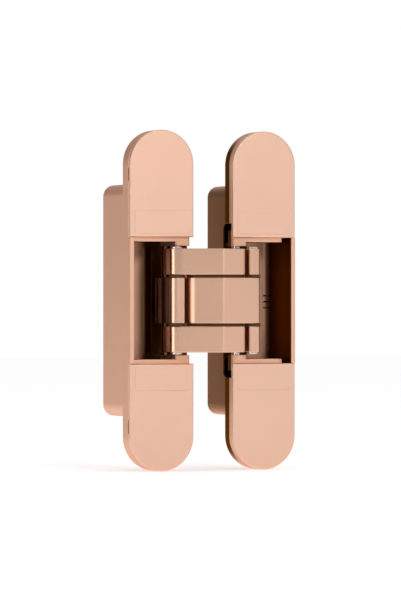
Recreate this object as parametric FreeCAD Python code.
import FreeCAD, Part
import math
import os

os.makedirs("parts", exist_ok=True)

# Concealed door hinge with seven pivots, opened flat.
# Millimetres, +Z up along the pivot pins, the covers face -Y and +X points
# from the frame unit to the door unit.  The origin is the middle of the
# frame unit's screw pattern, on the rear shoulder of its flange.
# "Depth" is measured from the cover faces towards the back.

# Flange of one unit
flange_thickness = 6.4
flange_edge_round = 0.35
lip_width = 1.7
lip_root = 0.8

# Cover plates
cover_thickness = 2.0
cover_over_block = 1.8
cover_gap = 0.12
cover_edge_round = 0.5
parting_inset = 0.5
parting_height = 0.45
field_half_width = 11.8
field_height = 9.4
field_from_edge = 1.5
field_depth = 0.15
field_round = 0.4
peg_radius = 1.6
peg_length = 4.0
peg_from_box = 2.5
peg_from_end = 4.0
pry_slot_from_box = 3.7
pry_slot_length = 5.4
pry_slot_height = 0.8
pry_slot_reach = 1.2

# Rear box and its cavity
box_corner_round = 4.75
end_wall = 1.7
side_wall = 0.85
outer_room = 3.3
floor_height = 8.8
well_ledge = 3.7
well_side_cover = 0.5
rear_wall = 2.0
mouth_end_gap = 0.5
mouth_depth = 16.0
mouth_round = 2.5
mouth_margin = 1.0
scale_mark_gap = 0.35
scale_mark_length = 2.0
scale_mark_width = 0.55
scale_mark_cut = 0.35
scale_mark_pitch = 2.5
scale_mark_lowest_z = -3.0
scale_mark_count = 3

# Fixing screws of one unit
screw_spacing_x = 13.0
screw_from_box = 9.0
screw_from_end = 13.0
screw_hole_radius = 2.6
countersink_radius = 5.0

# Adjustment travel of the two carriers
height_travel = 2.5
side_travel = (0.6, 1.5)
slide_gap = 0.3

# Carrier casting
carrier_half_width = 9.0
carrier_end_gap = 0.2
carrier_plate_gap = 0.15
carrier_plate_inset = 0.8
carrier_plate_round = 3.0
carrier_web_depth = 22.0
carrier_web_thickness = 3.0
carrier_round = 2.2
ear_thickness = 6.5
ear_wall = 1.45
ear_drop = 1.7
ear_corner_inset = 1.6
ear_corner_round = 0.8
ear_front_width = 4.8

# Clamp screws that hold each carrier in its housing
clamp_shank_radius = 2.5
clamp_head_radius = 4.25
clamp_head_height = 3.0
clamp_socket_across = 4.0
clamp_socket_depth = 1.8
clamp_plate_width = 10.0
clamp_plate_height = 9.0
clamp_plate_thickness = 2.0
clamp_plate_round = 1.0
clamp_side_wall = 0.7
clamp_inner_wall = 2.5
clamp_outer_wall = 2.2
clamp_floor = 11.0
clamp_tip_cover = 1.0

# Pivot places with the hinge opened flat: x, depth
unit_spacing = 45.5
arm_pivot = (10.0, 6.2)
centre_depth = -6.6
knuckle_pivot = (5.8, -1.5)
link_pivot = (6.33, 11.68)

# Pins and running clearances
arm_pin_radius = 1.8
centre_pin_radius = 2.0
knuckle_pin_radius = 1.6
link_pin_radius = 1.4
pin_chamfer = 0.35
running_gap = 0.05
washer_gap = 0.05
washer_radius = 3.3
sleeve_wall = 0.5
liner_inset = 1.2
rivet_head_margin = 0.8
rivet_head_height = 0.8

# Play of the link round its ground pin, along x and across it
link_play = 1.86
link_play_offset = 0.22
link_play_margin = 0.35
link_end_wall = 0.8

# Heights of the interleaved arms
mid_half_height = 9.4
outer_arm_height = 10.7
level_gap = 1.2

# Plan outline of the arms
crease_depth = -11.6
crease_round = 1.6
elbow_from_middle = 8.2
elbow_depth = -3.0
elbow_round = 4.3
barrel_radius = 2.95
neck_offset = (1.9, -2.6)
neck_round = 2.0
relief_gap = 0.3
relief_side_gap = 0.05
knuckle_radius = 2.95
tail_offset = (-1.3, 7.4)
tail_round = 1.5
arm_edge_round = 0.3

# Plan outline of the links
link_corner_offset = (1.9, -2.1)
link_corner_round = 0.8
link_bow = (3.9, 5.6)
link_shank_round = 2.0

# Heights from the middle outwards
plate_low_z = mid_half_height + level_gap
arm_half_height = plate_low_z + outer_arm_height
ear_face_z = arm_half_height + level_gap
ear_top_z = ear_face_z + ear_thickness
carrier_block_z = ear_face_z + ear_drop
clamp_seat_half_height = clamp_plate_height / 2 + height_travel + slide_gap
clamp_z = carrier_block_z + clamp_inner_wall + clamp_seat_half_height
carrier_top_z = clamp_z + clamp_seat_half_height + clamp_outer_wall
cavity_top_z = carrier_top_z + slide_gap + height_travel
box_top_z = cavity_top_z + end_wall
screw_z = box_top_z + screw_from_box
flange_top_z = screw_z + screw_from_end
cover_inner_z = carrier_block_z + cover_over_block
peg_z = (box_top_z + peg_from_box, flange_top_z - peg_from_end)
pry_slot_z = box_top_z + pry_slot_from_box
mouth_top_z = ear_top_z + height_travel + mouth_end_gap
well_top_z = carrier_block_z - well_ledge

# Widths from the carrier outwards
cavity_inner_x = carrier_half_width + slide_gap + side_travel[1]
cavity_outer_x = -carrier_half_width - outer_room
box_inner_x = cavity_inner_x + side_wall
box_outer_x = cavity_outer_x - side_wall
unit_half_width = lip_width - cavity_outer_x
well_half_width = carrier_half_width - side_travel[1] - well_side_cover
clamp_seat_left = clamp_side_wall - carrier_half_width
clamp_x = clamp_seat_left + slide_gap + side_travel[1] + clamp_plate_width / 2
clamp_seat_right = clamp_x + clamp_plate_width / 2 + side_travel[0] + slide_gap
ear_corner_x = unit_half_width - ear_corner_inset
middle_x = unit_spacing / 2

# Depths from the cover faces to the back
face_depth = flange_thickness + cover_thickness
carrier_front = cover_thickness + carrier_end_gap
carrier_plate_depth = face_depth - carrier_plate_inset
carrier_back = carrier_web_depth + carrier_web_thickness
floor_depth = carrier_back + carrier_end_gap
total_depth = floor_depth + floor_height
clamp_seat_depth = carrier_back - clamp_floor
clamp_head_base = clamp_seat_depth - clamp_plate_thickness - running_gap
clamp_tip_depth = total_depth - rear_wall - clamp_tip_cover


def place(axis, u, v, along):
    """Point at plan place u, v on a plane across the given axis."""
    if axis == "z":
        return FreeCAD.Vector(u, v - face_depth, along)
    if axis == "y":
        return FreeCAD.Vector(u, along - face_depth, v)
    return FreeCAD.Vector(along, u - face_depth, v)


def direction(axis):
    return {"x": FreeCAD.Vector(1, 0, 0), "y": FreeCAD.Vector(0, 1, 0), "z": FreeCAD.Vector(0, 0, 1)}[axis]


def hull(axis, circles, low, high):
    """Prism over the convex outline that wraps circles (u, v, radius)."""
    mean_u = sum(c[0] for c in circles) / len(circles)
    mean_v = sum(c[1] for c in circles) / len(circles)
    ring = sorted(circles, key=lambda c: math.atan2(c[1] - mean_v, c[0] - mean_u))
    normals = []
    for first, second in zip(ring, ring[1:] + ring[:1]):
        du = second[0] - first[0]
        dv = second[1] - first[1]
        span = math.hypot(du, dv)
        lean = (first[2] - second[2]) / span
        side = math.sqrt(1 - lean * lean)
        normal_u = du / span * lean + dv / span * side
        normal_v = dv / span * lean - du / span * side
        normals.append(math.atan2(normal_v, normal_u))
    edges = []
    for index, (u, v, radius) in enumerate(ring):
        start = normals[index - 1]
        end = normals[index]
        while end < start:
            end += 2 * math.pi
        angles = (start, (start + end) / 2, end)
        points = [place(axis, u + radius * math.cos(a), v + radius * math.sin(a), low) for a in angles]
        edges.append(Part.Arc(*points).toShape())
        after = ring[(index + 1) % len(ring)]
        tangent_u = after[0] + after[2] * math.cos(end)
        tangent_v = after[1] + after[2] * math.sin(end)
        edges.append(Part.LineSegment(points[2], place(axis, tangent_u, tangent_v, low)).toShape())
    face = Part.Face(Part.Wire(edges))
    return face.extrude(direction(axis) * (high - low))


def rounded(axis, u0, u1, v0, v1, radius, low, high):
    """Prism over a rectangle with rounded corners."""
    corners = [
        (u0 + radius, v0 + radius, radius),
        (u1 - radius, v0 + radius, radius),
        (u1 - radius, v1 - radius, radius),
        (u0 + radius, v1 - radius, radius),
    ]
    return hull(axis, corners, low, high)


def block(x0, x1, depth0, depth1, z0, z1):
    corner = place("z", x0, depth0, z0)
    return Part.makeBox(x1 - x0, depth1 - depth0, z1 - z0, corner)


def rod(axis, u, v, radius, low, high):
    """Cylinder along an axis between two places."""
    return Part.makeCylinder(radius, high - low, place(axis, u, v, low), direction(axis))


def tube(u, v, outer, inner, low, high):
    return rod("z", u, v, outer, low, high).cut(rod("z", u, v, inner, low, high))


def join(first, *others):
    return first.fuse(list(others)).removeSplitter()


def flipped(shape):
    """The same shape at the lower end of the hinge."""
    return shape.mirror(FreeCAD.Vector(0, 0, 0), FreeCAD.Vector(0, 0, 1))


def door_side(shape):
    """The same shape at the door unit, mirrored about the middle plane."""
    return shape.mirror(FreeCAD.Vector(middle_x, 0, 0), FreeCAD.Vector(1, 0, 0))


def across(pivot):
    """A frame unit place carried over to the door unit."""
    return (unit_spacing - pivot[0], pivot[1])


def both_ends(shape):
    return Part.makeCompound([shape, flipped(shape)])


def rounded_front(shape, radius, depth):
    """Rounds the outline edges that lie in the plane at one depth."""
    plane_y = depth - face_depth
    edges = [
        edge for edge in shape.Edges
        if edge.BoundBox.YMin > plane_y - 0.001 and edge.BoundBox.YMax < plane_y + 0.001
    ]
    return shape.makeFillet(radius, edges)


def level_edges(shape, levels):
    """Outline edges that lie in the planes at the given heights."""
    edges = []
    for edge in shape.Edges:
        for level in levels:
            if abs(edge.BoundBox.ZMin - level) < 0.001 and abs(edge.BoundBox.ZMax - level) < 0.001:
                edges.append(edge)
    return edges


def stadium(half_width, low, high):
    end_z = flange_top_z - unit_half_width
    return hull("y", [(0, -end_z, half_width), (0, end_z, half_width)], low, high)


# Housing: flange with rounded ends, raised lip between the covers, rear box
def make_housing():
    half = unit_half_width
    flange = stadium(half, cover_thickness, face_depth)
    lip_z = cover_inner_z - cover_gap
    lip = block(-half, half, 0, cover_thickness + lip_root, -lip_z, lip_z)
    box = rounded("y", box_outer_x, box_inner_x, -box_top_z, box_top_z,
                  box_corner_round, face_depth, total_depth)
    box = rounded_front(box, rear_wall / 2, total_depth)
    body = join(rounded_front(flange, flange_edge_round, cover_thickness), lip, box)
    cavity = rounded("y", cavity_outer_x, cavity_inner_x, -cavity_top_z, cavity_top_z,
                     box_corner_round - end_wall, 0, floor_depth)
    well = block(-well_half_width, well_half_width, 0, total_depth - rear_wall, -well_top_z, well_top_z)
    mouth = rounded("x", -mouth_margin - mouth_round, mouth_depth, -mouth_top_z, mouth_top_z,
                    mouth_round, 0, half + mouth_margin)
    body = body.cut([cavity, well, mouth])
    holes = []
    sink = countersink_radius - screw_hole_radius
    for x in (-screw_spacing_x / 2, screw_spacing_x / 2):
        for z in (-screw_z, screw_z):
            holes.append(rod("y", x, z, screw_hole_radius, cover_thickness, face_depth))
            top = place("y", x, z, cover_thickness)
            holes.append(Part.makeCone(countersink_radius, screw_hole_radius, sink, top, direction("y")))
    for z in peg_z:
        for end in (-1, 1):
            holes.append(rod("y", 0, z * end, peg_radius, cover_thickness, cover_thickness + peg_length))
    for end in (-1, 1):
        holes.append(rod("y", clamp_x, clamp_z * end, clamp_shank_radius, floor_depth, clamp_tip_depth))
        slot_low = pry_slot_z * end - pry_slot_length / 2
        holes.append(block(-half, pry_slot_reach - half, cover_thickness, cover_thickness + pry_slot_height,
                           slot_low, slot_low + pry_slot_length))
    mark_x = cavity_outer_x + scale_mark_gap
    for index in range(scale_mark_count):
        z = scale_mark_lowest_z + scale_mark_pitch * index
        holes.append(block(mark_x, mark_x + scale_mark_length, floor_depth, floor_depth + scale_mark_cut,
                           z - scale_mark_width / 2, z + scale_mark_width / 2))
    return body.cut(holes)


# Cover plate: clipped on the flange with two pegs
def make_cover():
    half = unit_half_width
    plate = stadium(half, 0, cover_thickness)
    outside = block(-2 * half, 2 * half, 0, cover_thickness, -flange_top_z, cover_inner_z)
    plate = rounded_front(plate.cut(outside), cover_edge_round, 0)
    core = stadium(half - parting_inset, cover_thickness - parting_height, cover_thickness).cut(outside)
    rim = stadium(half, cover_thickness - parting_height, cover_thickness).cut(core)
    field_low = cover_inner_z + field_from_edge
    field = rounded("y", -field_half_width, field_half_width, field_low, field_low + field_height,
                    field_round, 0, field_depth)
    plate = plate.cut([rim, field])
    pegs = [rod("y", 0, z, peg_radius, cover_thickness, cover_thickness + peg_length) for z in peg_z]
    return join(plate, *pegs)


# Carrier: casting that holds the pins and slides in the housing
def make_carrier(slot_x, slot_z, plate_x):
    """Carrier whose screw slots run by slot_x (left, right) or slot_z (up and down)."""
    head = rounded("y", -carrier_half_width, carrier_half_width, carrier_block_z, carrier_top_z,
                   carrier_round, carrier_front, carrier_back)
    plate = rounded("y", plate_x[0], plate_x[1], carrier_block_z, carrier_top_z,
                    carrier_plate_round, carrier_front, carrier_plate_depth)
    foot = block(-carrier_half_width, carrier_half_width, carrier_web_depth, carrier_back,
                 carrier_block_z - carrier_round, carrier_block_z + carrier_round)
    corner_depth = carrier_front + ear_corner_round
    ear = hull("z", [
        (arm_pivot[0], arm_pivot[1], arm_pin_radius + ear_wall),
        (ear_corner_x, corner_depth, ear_corner_round),
        (ear_corner_x - ear_front_width, corner_depth, ear_corner_round),
        (link_pivot[0], link_pivot[1], link_pin_radius + ear_wall),
    ], ear_face_z, ear_top_z)
    seat = rounded("y", clamp_seat_left, clamp_seat_right,
                   clamp_z - clamp_seat_half_height, clamp_z + clamp_seat_half_height,
                   clamp_plate_round, carrier_front, clamp_seat_depth)
    slot_radius = clamp_shank_radius + running_gap
    slot = hull("y", [
        (clamp_x - slot_x[0], clamp_z - slot_z, slot_radius),
        (clamp_x + slot_x[1], clamp_z + slot_z, slot_radius),
    ], clamp_seat_depth, carrier_back)
    end = join(head, plate, foot, ear)
    end = end.cut([seat, slot])
    web = block(-carrier_half_width, carrier_half_width, carrier_web_depth, carrier_back,
                -carrier_block_z, carrier_block_z)
    body = join(web, end, flipped(end))
    cuts = [rod("z", arm_pivot[0], arm_pivot[1], arm_pin_radius, -ear_top_z, ear_top_z),
            rod("z", link_pivot[0], link_pivot[1], link_pin_radius, -ear_top_z, ear_top_z)]
    return body.cut(cuts)


def make_clamp_screw():
    top = clamp_head_base - clamp_head_height
    head = rod("y", clamp_x, clamp_z, clamp_head_radius, top, clamp_head_base)
    head = rounded_front(head, clamp_socket_depth / 4, top)
    shank = rod("y", clamp_x, clamp_z, clamp_shank_radius, clamp_head_base, clamp_tip_depth)
    corner = clamp_socket_across / math.sqrt(3)
    points = []
    for index in range(7):
        angle = math.radians(60 * index)
        points.append(place("y", clamp_x + corner * math.cos(angle), clamp_z + corner * math.sin(angle), top))
    socket = Part.Face(Part.makePolygon(points)).extrude(direction("y") * clamp_socket_depth)
    return join(head, shank).cut(socket)


def make_clamp_plate():
    plate = rounded("y", clamp_x - clamp_plate_width / 2, clamp_x + clamp_plate_width / 2,
                    clamp_z - clamp_plate_height / 2, clamp_z + clamp_plate_height / 2,
                    clamp_plate_round, clamp_head_base, clamp_seat_depth - running_gap)
    return plate.cut(rod("y", clamp_x, clamp_z, clamp_shank_radius, clamp_head_base, clamp_seat_depth))


# Arms: one plan outline, used for the single inner arm and the outer pair
elbow_x = middle_x - elbow_from_middle
far_knuckle = across(knuckle_pivot)
far_tail = (far_knuckle[0] - tail_offset[0], far_knuckle[1] + tail_offset[1])


def make_arm(low, high, column_low):
    """Arm from the frame unit's arm pin to the door unit's knuckle pin.

    The band lies between low and high.  Its leg ends in a column that carries
    the barrel on the other level, because the link's end needs this level
    round the arm pin.
    """
    crease = (middle_x, crease_depth + crease_round, crease_round)
    elbow = (elbow_x, elbow_depth, elbow_round)
    knuckle = (far_knuckle[0], far_knuckle[1], knuckle_radius)
    tail = (far_tail[0], far_tail[1], tail_round)
    barrel = (arm_pivot[0], arm_pivot[1], barrel_radius)
    neck = (arm_pivot[0] + neck_offset[0], arm_pivot[1] + neck_offset[1], neck_round)
    span = hull("z", [crease, elbow, knuckle], low, high)
    leg = hull("z", [elbow, neck], low, high)
    hook = hull("z", [knuckle, tail], low, high)
    body = join(span, leg, hook)
    body = body.makeFillet(arm_edge_round, level_edges(body, (low, high)))
    column = hull("z", [neck, barrel], column_low, arm_half_height)
    relief_radius = barrel_radius + relief_side_gap
    relief = rod("z", arm_pivot[0], arm_pivot[1], relief_radius, low - relief_gap, high + relief_gap)
    return join(body, column).cut(relief)


def bored(shape, pivot, radius):
    return shape.cut(rod("z", pivot[0], pivot[1], radius, -ear_top_z, ear_top_z))


centre = (middle_x, centre_depth)


def make_inner_arm():
    body = make_arm(-mid_half_height, mid_half_height, -arm_half_height)
    body = bored(body, arm_pivot, arm_pin_radius + running_gap)
    body = bored(body, centre, centre_pin_radius)
    return bored(body, far_knuckle, knuckle_pin_radius)


def make_outer_arm_upper():
    body = make_arm(plate_low_z, arm_half_height, washer_gap)
    body = bored(body, arm_pivot, arm_pin_radius + running_gap)
    body = bored(body, centre, centre_pin_radius + running_gap)
    return door_side(bored(body, far_knuckle, knuckle_pin_radius))


# Link: from the knuckle pin to the pin held by the carrier
def make_link(low, high):
    end_radius = link_pin_radius + link_play_margin + link_end_wall
    slot_radius = link_pin_radius + link_play_margin
    slot_depth = link_pivot[1] + link_play_offset
    slot_x = (link_pivot[0] - link_play, link_pivot[0])
    knuckle = (knuckle_pivot[0], knuckle_pivot[1], knuckle_radius)
    corner = (knuckle_pivot[0] + link_corner_offset[0], knuckle_pivot[1] + link_corner_offset[1],
              link_corner_round)
    ends = [(x, slot_depth, end_radius) for x in slot_x]
    nose = hull("z", [knuckle, corner], low, high)
    bow = (link_bow[0], link_bow[1], link_shank_round)
    neck = hull("z", [(knuckle[0], knuckle[1], link_shank_round), bow], low, high)
    shank = hull("z", [bow, (ends[0][0], ends[0][1], link_shank_round)], low, high)
    foot = hull("z", ends, low, high)
    body = join(nose, neck, shank, foot)
    body = body.makeFillet(arm_edge_round, level_edges(body, (low, high)))
    slot = hull("z", [(x, slot_depth, slot_radius) for x in slot_x], low, high)
    body = body.cut(slot)
    return bored(body, knuckle_pivot, knuckle_pin_radius + running_gap)


def make_washer(pivot, pin_radius, low, high):
    return tube(pivot[0], pivot[1], washer_radius, pin_radius + running_gap, low + washer_gap, high - washer_gap)


def make_sleeve(low, high):
    """Sleeve round the link's ground pin, wider than the link's slot."""
    bore = link_pin_radius + running_gap
    return tube(link_pivot[0], link_pivot[1], bore + sleeve_wall, bore, low + washer_gap, high - washer_gap)


def make_liner():
    """Bearing sheet round the centre pin, a little smaller than the crossed arms."""
    elbow_radius = elbow_round - liner_inset
    sheet = hull("z", [
        (middle_x, crease_depth + crease_round, crease_round - liner_inset),
        (elbow_x, elbow_depth, elbow_radius),
        (across((elbow_x, elbow_depth))[0], elbow_depth, elbow_radius),
    ], mid_half_height + washer_gap, plate_low_z - washer_gap)
    return bored(sheet, centre, centre_pin_radius + running_gap)


def make_pin(pivot, radius, half_length):
    pin = rod("z", pivot[0], pivot[1], radius, -half_length, half_length)
    return pin.makeChamfer(pin_chamfer, level_edges(pin, (-half_length, half_length)))


def make_rivet(pivot, radius, half_length):
    """Pin with a flat head at each end, just clear of the arms."""
    low = half_length + washer_gap
    high = low + rivet_head_height
    head = rod("z", pivot[0], pivot[1], radius + rivet_head_margin, low, high)
    head = head.makeChamfer(pin_chamfer, level_edges(head, (high,)))
    return join(rod("z", pivot[0], pivot[1], radius, -low, low), head, flipped(head))


housing = make_housing()
cover = make_cover()
clamp_screws = both_ends(make_clamp_screw())
clamp_plates = both_ends(make_clamp_plate())
arm_pin = make_pin(arm_pivot, arm_pin_radius, ear_top_z)
link_pin = make_pin(link_pivot, link_pin_radius, ear_top_z)
knuckle_pin = make_rivet(knuckle_pivot, knuckle_pin_radius, arm_half_height)
arm_washers = both_ends(make_washer(arm_pivot, arm_pin_radius, arm_half_height, ear_face_z))
knuckle_washers = both_ends(make_washer(knuckle_pivot, knuckle_pin_radius, mid_half_height, plate_low_z))
centre_washers = both_ends(make_liner())
link_washers = both_ends(make_washer(link_pivot, link_pin_radius, arm_half_height, ear_face_z))
long_spacers = both_ends(make_sleeve(mid_half_height, ear_face_z))
short_spacer = make_sleeve(-plate_low_z, plate_low_z)
frame_plate_x = (cavity_outer_x + carrier_plate_gap, cavity_inner_x - carrier_plate_gap)
door_plate_x = (-carrier_half_width, frame_plate_x[1] - side_travel[1])
frame_carrier = make_carrier((0, 0), height_travel, frame_plate_x)
door_carrier = door_side(make_carrier((side_travel[1], side_travel[0]), 0, door_plate_x))
outer_arm = make_outer_arm_upper()
door_link = door_side(make_link(plate_low_z, arm_half_height))

nodes = {
    "frame_housing": housing,
    "frame_cover_upper": cover,
    "frame_cover_lower": flipped(cover),
    "frame_clamp_screws": clamp_screws,
    "frame_clamp_plates": clamp_plates,
    "frame_carrier": frame_carrier,
    "frame_arm_pin": arm_pin,
    "frame_arm_washers": arm_washers,
    "frame_link_pin": link_pin,
    "frame_link_spacers": long_spacers,
    "inner_arm": make_inner_arm(),
    "centre_pin": make_pin(centre, centre_pin_radius, arm_half_height),
    "centre_washers": centre_washers,
    "door_knuckle_pin": door_side(knuckle_pin),
    "door_knuckle_washers": door_side(knuckle_washers),
    "outer_arm_upper": outer_arm,
    "outer_arm_lower": flipped(outer_arm),
    "frame_knuckle_pin": knuckle_pin,
    "frame_knuckle_washers": knuckle_washers,
    "frame_link": make_link(-mid_half_height, mid_half_height),
    "door_link_upper": door_link,
    "door_link_lower": flipped(door_link),
    "door_arm_pin": door_side(arm_pin),
    "door_link_pin": door_side(link_pin),
    "door_link_spacer": door_side(short_spacer),
    "door_link_washers": door_side(link_washers),
    "door_carrier": door_carrier,
    "door_clamp_screws": door_side(clamp_screws),
    "door_clamp_plates": door_side(clamp_plates),
    "door_housing": door_side(housing),
    "door_cover_upper": door_side(cover),
    "door_cover_lower": door_side(flipped(cover)),
}

for name, shape in nodes.items():
    shape.exportStep("parts/" + name + ".step")
